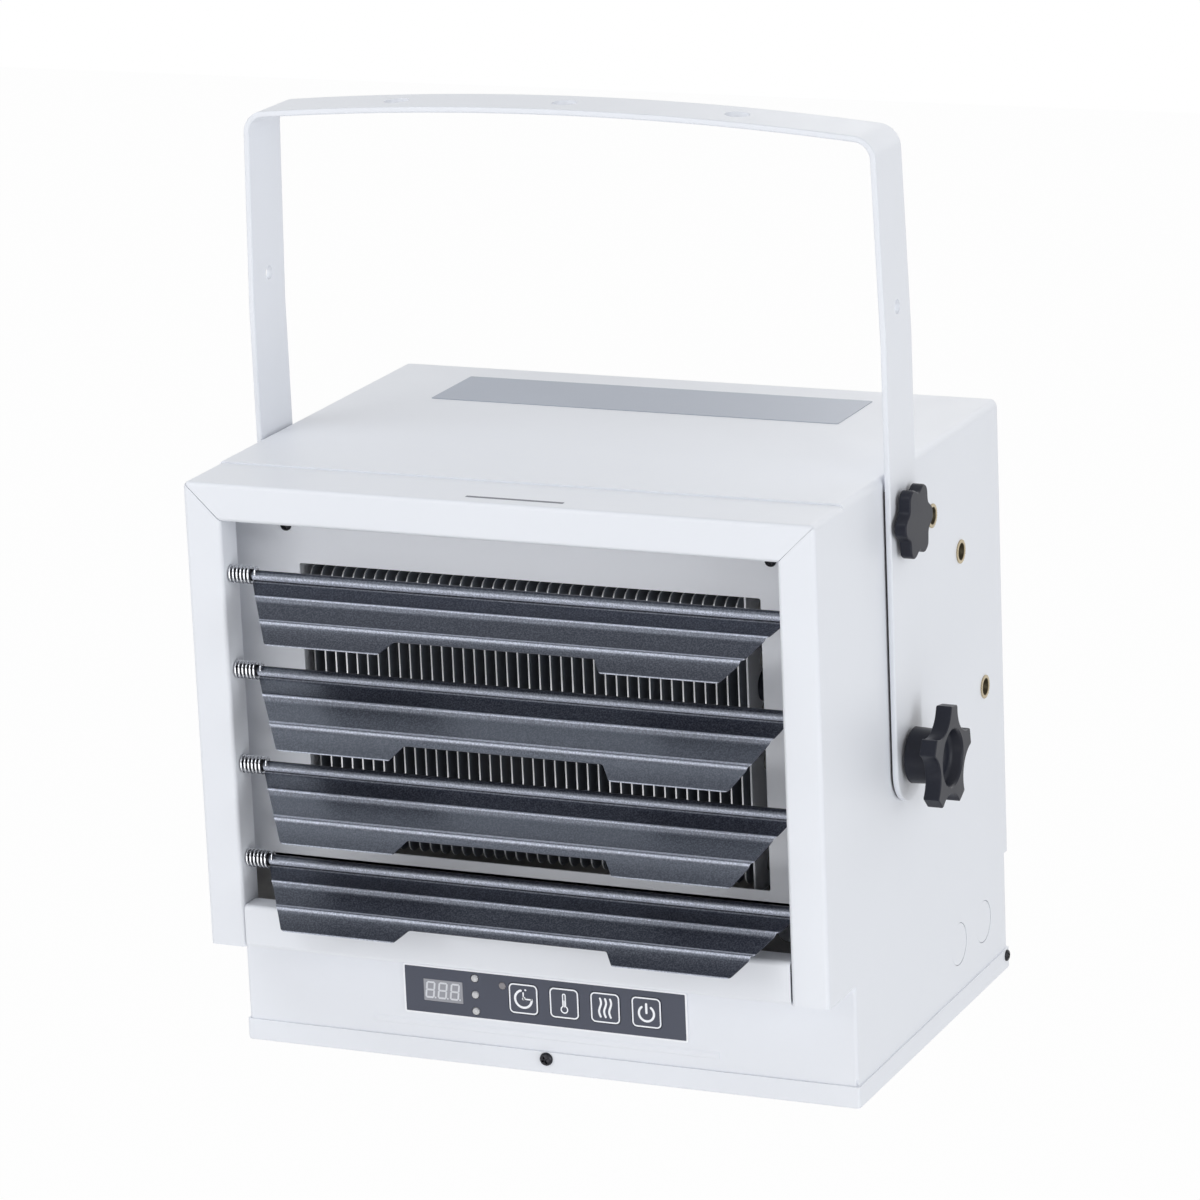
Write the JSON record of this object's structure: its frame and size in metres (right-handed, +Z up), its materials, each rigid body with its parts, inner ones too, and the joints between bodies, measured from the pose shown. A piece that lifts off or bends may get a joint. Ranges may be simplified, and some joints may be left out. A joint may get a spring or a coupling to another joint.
{
  "type": "ceiling mounted fan heater",
  "caption": "Box-shaped electric fan heater that tilts in a bowed strap bracket, with separately tilting louvres, a finned element, a rear fan and a keypad under the outlet.",
  "frame": {"origin": "centre of the strap's top face, on the axis of the centre ceiling hole", "axes": "+X to the right seen from the front, +Y from the louvres towards the fan inlet, +Z up towards the ceiling"},
  "size_m": [0.3824, 0.2845, 0.473],
  "materials": {
    "white_coat": "fine smooth powder coat, satin",
    "grey_coat": "textured anthracite powder coat with a metallic sheen",
    "black_screw": "black oxide",
    "zinc": "yellowish zinc plate",
    "bright_steel": "bright",
    "fin_metal": "mill finish",
    "dark_metal": "dark, heat proof",
    "knob_plastic": "fine grained black",
    "panel_film": "satin film",
    "panel_border": "satin film",
    "panel_print": "printed",
    "display_lens": "tinted window",
    "display_segments": "unlit segments",
    "lamp_lens": "milky dome",
    "ir_lens": "dark red window",
    "board": "solder mask",
    "relay_case": "moulded",
    "terminal_body": "moulded",
    "label_foil": "satin foil, blank"
  },
  "bodies": {
    "bracket": {"strap_bracket": "white_coat", "strap_washers": "zinc"},
    "pivot_knob_left_body": {"pivot_knob_left": "knob_plastic", "pivot_stud_left": "zinc"},
    "pivot_knob_right_body": {"pivot_knob_right": "knob_plastic", "pivot_stud_right": "zinc"},
    "lock_knob_left_body": {"lock_knob_left": "knob_plastic", "lock_stud_left": "zinc"},
    "lock_knob_right_body": {"lock_knob_right": "knob_plastic", "lock_stud_right": "zinc"},
    "louvre_1_body": {"louvre_1": "grey_coat", "louvre_rod_1": "bright_steel"},
    "louvre_2_body": {"louvre_2": "grey_coat", "louvre_rod_2": "bright_steel"},
    "louvre_3_body": {"louvre_3": "grey_coat", "louvre_rod_3": "bright_steel"},
    "louvre_4_body": {"louvre_4": "grey_coat", "louvre_rod_4": "bright_steel"},
    "fan": {"fan_shaft": "bright_steel", "fan_blade": "fin_metal"},
    "key_timer_body": {"key_timer": "panel_film"},
    "key_temperature_body": {"key_temperature": "panel_film"},
    "key_heat_body": {"key_heat": "panel_film"},
    "key_power_body": {"key_power": "panel_film"},
    "housing": {"left_side_panel": "white_coat", "right_side_panel": "white_coat", "top_rail": "white_coat", "bottom_rail": "white_coat", "top_cover": "white_coat", "duct_floor": "white_coat", "rear_panel": "white_coat", "rear_screws": "black_screw", "front_baffle": "white_coat", "baffle_screws": "black_screw", "element_tray": "dark_metal", "control_box": "white_coat", "base_pan": "white_coat", "base_screws": "black_screw", "cable_knockouts": "white_coat", "rivet_nuts_left": "zinc", "rivet_nuts_right": "zinc", "label_plate": "label_foil", "louvre_springs": "bright_steel", "fin_end_plates": "fin_metal", "element_fins": "fin_metal", "element_tubes": "dark_metal", "thermal_cutout": "knob_plastic", "fan_shroud": "white_coat", "motor_mount": "dark_metal", "fan_motor": "dark_metal", "fan_guard": "bright_steel", "keypad_panel": "panel_film", "display_window": "display_lens", "led_lenses": "lamp_lens", "ir_window": "ir_lens", "control_board": "board", "board_standoffs": "bright_steel", "relays": "relay_case", "terminal_block": "terminal_body"}
  },
  "joints": [
    {"name": "housing_tilt", "type": "hinge", "parent": "bracket", "child": "housing", "pos_m": [0, 0, -0.3145], "axis": [1, 0, 0], "range_deg": [0, 90]},
    {"name": "pivot_knob_left_turn", "type": "hinge", "parent": "bracket", "child": "pivot_knob_left_body", "pos_m": [0, 0, -0.3145], "axis": [1, 0, 0], "continuous": true},
    {"name": "lock_knob_left_turn", "type": "hinge", "parent": "bracket", "child": "lock_knob_left_body", "pos_m": [0, 0, -0.197], "axis": [1, 0, 0], "continuous": true},
    {"name": "pivot_knob_right_turn", "type": "hinge", "parent": "bracket", "child": "pivot_knob_right_body", "pos_m": [0, 0, -0.3145], "axis": [1, 0, 0], "continuous": true},
    {"name": "lock_knob_right_turn", "type": "hinge", "parent": "bracket", "child": "lock_knob_right_body", "pos_m": [0, 0, -0.197], "axis": [1, 0, 0], "continuous": true},
    {"name": "louvre_1_tilt", "type": "hinge", "parent": "housing", "child": "louvre_1_body", "pos_m": [0, -0.097, -0.22], "axis": [-1, 0, 0], "range_deg": [-46.4, 33.6]},
    {"name": "louvre_2_tilt", "type": "hinge", "parent": "housing", "child": "louvre_2_body", "pos_m": [0, -0.097, -0.2686], "axis": [-1, 0, 0], "range_deg": [-34.2, 45.8]},
    {"name": "louvre_3_tilt", "type": "hinge", "parent": "housing", "child": "louvre_3_body", "pos_m": [0, -0.097, -0.3172], "axis": [-1, 0, 0], "range_deg": [-37.4, 42.6]},
    {"name": "louvre_4_tilt", "type": "hinge", "parent": "housing", "child": "louvre_4_body", "pos_m": [0, -0.097, -0.3658], "axis": [-1, 0, 0], "range_deg": [-31.9, 33.1]},
    {"name": "fan_spin", "type": "hinge", "parent": "housing", "child": "fan", "pos_m": [0, 0.075, -0.29165], "axis": [0, 1, 0], "continuous": true},
    {"name": "key_timer_press", "type": "slide", "parent": "housing", "child": "key_timer_body", "axis": [0, 1, 0], "range_m": [0, 0.0005], "stiffness_N_per_m": 1500, "springref_m": -0.0004},
    {"name": "key_temperature_press", "type": "slide", "parent": "housing", "child": "key_temperature_body", "axis": [0, 1, 0], "range_m": [0, 0.0005], "stiffness_N_per_m": 1500, "springref_m": -0.0004},
    {"name": "key_heat_press", "type": "slide", "parent": "housing", "child": "key_heat_body", "axis": [0, 1, 0], "range_m": [0, 0.0005], "stiffness_N_per_m": 1500, "springref_m": -0.0004},
    {"name": "key_power_press", "type": "slide", "parent": "housing", "child": "key_power_body", "axis": [0, 1, 0], "range_m": [0, 0.0005], "stiffness_N_per_m": 1500, "springref_m": -0.0004}
  ]
}
